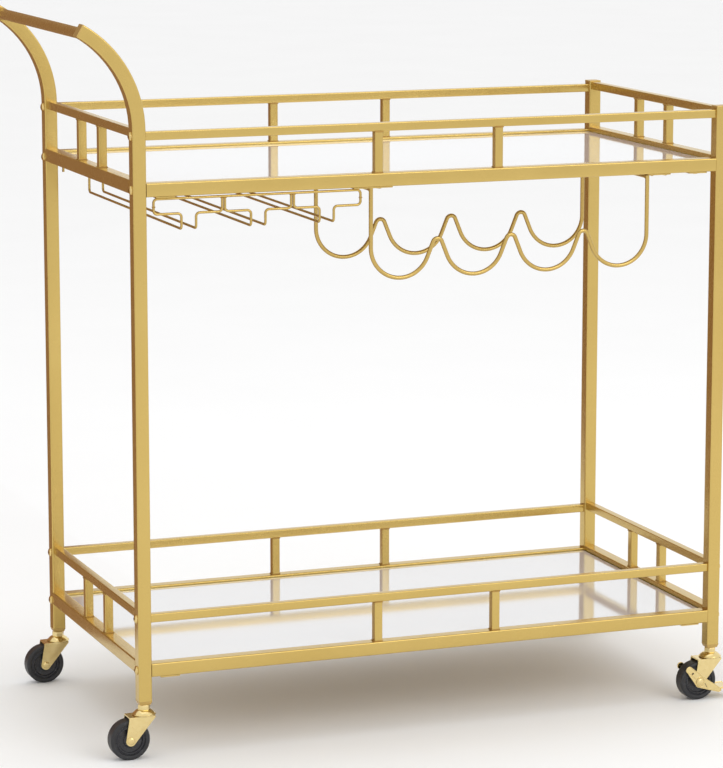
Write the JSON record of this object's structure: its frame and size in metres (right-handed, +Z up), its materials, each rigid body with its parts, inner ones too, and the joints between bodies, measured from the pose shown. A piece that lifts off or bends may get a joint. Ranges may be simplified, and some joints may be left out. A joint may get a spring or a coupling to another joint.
{
  "type": "bar cart",
  "caption": "Two-tier gold metal bar cart with mirrored shelves, guard rails, push handle, wine bottle and stemware racks, and swivel casters with brakes.",
  "frame": {"origin": "on the floor, at the centre of the overall length and width", "axes": "+X along the cart away from the handle, +Y across it towards the back, +Z up"},
  "size_m": [0.8317, 0.3956, 0.857],
  "materials": {
    "gold_tube": "satin metallic gold",
    "gold_wire": "satin metallic gold",
    "caster_plate": "bright brass-coloured plating",
    "fastener": "brass-coloured plating",
    "plain_steel": "zinc plated",
    "gold_plastic": "moulded, gold coloured",
    "wheel_plastic": "moulded black",
    "mirror_glass": "polished",
    "board": "plain fibreboard, gold-brown painted underside"
  },
  "bodies": {
    "frame": {"leg_front_left": "gold_tube", "leg_front_right": "gold_tube", "leg_back_left": "gold_tube", "leg_back_right": "gold_tube", "long_rail_bottom_front": "gold_tube", "guard_rail_bottom_front": "gold_tube", "long_rail_bottom_back": "gold_tube", "guard_rail_bottom_back": "gold_tube", "end_rail_bottom_left": "gold_tube", "end_guard_bottom_left": "gold_tube", "end_rail_bottom_right": "gold_tube", "end_guard_bottom_right": "gold_tube", "long_rail_top_front": "gold_tube", "guard_rail_top_front": "gold_tube", "long_rail_top_back": "gold_tube", "guard_rail_top_back": "gold_tube", "end_rail_top_left": "gold_tube", "end_guard_top_left": "gold_tube", "end_rail_top_right": "gold_tube", "end_guard_top_right": "gold_tube", "balusters_bottom_front": "gold_tube", "balusters_bottom_back": "gold_tube", "balusters_top_front": "gold_tube", "balusters_top_back": "gold_tube", "balusters_left_end": "gold_tube", "balusters_right_end": "gold_tube", "handle_bar": "gold_tube", "tube_end_caps": "gold_plastic", "frame_bolts": "fastener", "rail_end_nuts": "plain_steel", "shelf_board_bottom": "board", "mirror_bottom": "mirror_glass", "shelf_board_top": "board", "mirror_top": "mirror_glass", "shelf_tabs": "gold_tube", "rack_plates": "gold_tube", "underside_screws": "fastener", "stemware_top_wires": "gold_wire", "stemware_front_hooks": "gold_wire", "stemware_rails": "gold_wire", "stemware_back_hooks": "gold_wire", "wine_rack_front_wire": "gold_wire", "wine_rack_back_wire": "gold_wire", "wine_rack_side_bars": "gold_wire", "leg_foot_sockets": "gold_plastic", "caster_stems": "caster_plate"},
    "caster_front_left": {"caster_fork_front_left": "caster_plate", "caster_axle_front_left": "caster_plate"},
    "wheel_front_left": {"caster_wheel_front_left": "wheel_plastic"},
    "caster_back_left": {"caster_fork_back_left": "caster_plate", "caster_axle_back_left": "caster_plate"},
    "wheel_back_left": {"caster_wheel_back_left": "wheel_plastic"},
    "caster_front_right": {"caster_fork_front_right": "caster_plate", "caster_axle_front_right": "caster_plate"},
    "wheel_front_right": {"caster_wheel_front_right": "wheel_plastic"},
    "brake_front_right": {"brake_lever_front_right": "caster_plate"},
    "caster_back_right": {"caster_fork_back_right": "caster_plate", "caster_axle_back_right": "caster_plate"},
    "wheel_back_right": {"caster_wheel_back_right": "wheel_plastic"},
    "brake_back_right": {"brake_lever_back_right": "caster_plate"}
  },
  "joints": [
    {"name": "swivel_front_left", "type": "hinge", "parent": "frame", "child": "caster_front_left", "pos_m": [-0.34397, -0.183, 0.052], "axis": [0, 0, 1], "continuous": true},
    {"name": "roll_front_left", "type": "hinge", "parent": "caster_front_left", "child": "wheel_front_left", "pos_m": [-0.36297, -0.183, 0.024], "axis": [0, 1, 0], "continuous": true},
    {"name": "swivel_back_left", "type": "hinge", "parent": "frame", "child": "caster_back_left", "pos_m": [-0.34397, 0.183, 0.052], "axis": [0, 0, 1], "continuous": true},
    {"name": "roll_back_left", "type": "hinge", "parent": "caster_back_left", "child": "wheel_back_left", "pos_m": [-0.36297, 0.183, 0.024], "axis": [0, 1, 0], "continuous": true},
    {"name": "swivel_front_right", "type": "hinge", "parent": "frame", "child": "caster_front_right", "pos_m": [0.39203, -0.183, 0.052], "axis": [0, 0, 1], "continuous": true},
    {"name": "roll_front_right", "type": "hinge", "parent": "caster_front_right", "child": "wheel_front_right", "pos_m": [0.37303, -0.183, 0.024], "axis": [0, 1, 0], "continuous": true},
    {"name": "brake_front_right", "type": "hinge", "parent": "caster_front_right", "child": "brake_front_right", "pos_m": [0.37303, -0.183, 0.024], "axis": [0, 1, 0], "range_deg": [-15, 5]},
    {"name": "swivel_back_right", "type": "hinge", "parent": "frame", "child": "caster_back_right", "pos_m": [0.39203, 0.183, 0.052], "axis": [0, 0, 1], "continuous": true},
    {"name": "roll_back_right", "type": "hinge", "parent": "caster_back_right", "child": "wheel_back_right", "pos_m": [0.37303, 0.183, 0.024], "axis": [0, 1, 0], "continuous": true},
    {"name": "brake_back_right", "type": "hinge", "parent": "caster_back_right", "child": "brake_back_right", "pos_m": [0.37303, 0.183, 0.024], "axis": [0, 1, 0], "range_deg": [-15, 5]}
  ]
}
